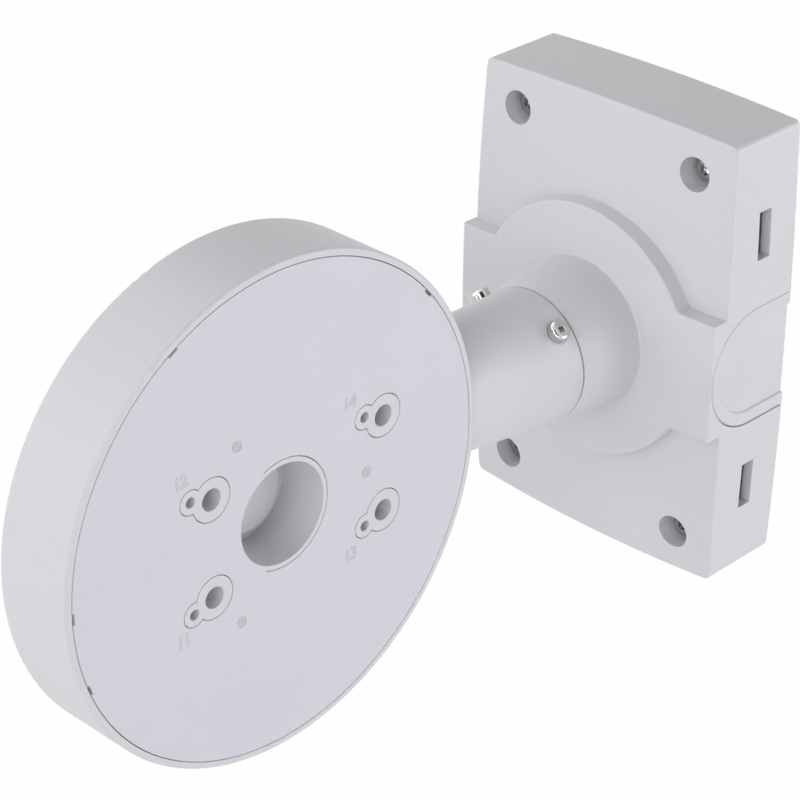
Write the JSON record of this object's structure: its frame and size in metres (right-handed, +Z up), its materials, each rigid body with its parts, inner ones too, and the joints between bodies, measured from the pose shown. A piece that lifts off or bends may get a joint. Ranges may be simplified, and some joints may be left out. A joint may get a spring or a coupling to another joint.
{
  "type": "camera bracket",
  "caption": "Wall bracket for a dome camera: crowned wall box with side cable plugs, tapering swivel arm and a round mounting dish with keyhole posts.",
  "frame": {"origin": "centre of the wall box's back, in the plane of the wall, on the axis of the arm", "axes": "+Y into the wall, +Z up along the box's long side, +X along its short side, the way the dish faces; the arm runs out along -Y"},
  "size_m": [0.1026, 0.256, 0.1546],
  "materials": {
    "coated_metal": "satin white powder coat with a fine grain",
    "plug_plastic": "matt white moulded plastic",
    "plate_steel": "zinc plated",
    "seal_rubber": "matt black",
    "steel": "bright stainless",
    "washer_plastic": "natural nylon"
  },
  "bodies": {
    "wall_box": {"box_cover": "coated_metal", "side_plug_right": "plug_plastic", "side_plug_left": "plug_plastic", "wall_plate": "plate_steel", "box_gasket": "seal_rubber", "plug_seal_right": "seal_rubber", "plug_seal_left": "seal_rubber", "arm_seal_ring": "seal_rubber", "cover_screw_1": "steel", "cover_screw_2": "steel", "cover_screw_3": "steel", "cover_screw_4": "steel", "plate_standoff_1": "steel", "plate_standoff_2": "steel", "plate_standoff_3": "steel", "plate_standoff_4": "steel", "captive_washer_1": "washer_plastic", "captive_washer_2": "washer_plastic", "captive_washer_3": "washer_plastic", "captive_washer_4": "washer_plastic"},
    "arm": {"arm_and_dish": "coated_metal", "face_plate": "coated_metal", "lock_screw_1": "steel", "lock_screw_2": "steel", "lock_screw_3": "steel"}
  },
  "joints": [
    {"name": "arm_swivel", "type": "hinge", "parent": "wall_box", "child": "arm", "pos_m": [0, -0.068, 0], "axis": [0, 1, 0], "range_deg": [-180, 180]}
  ]
}
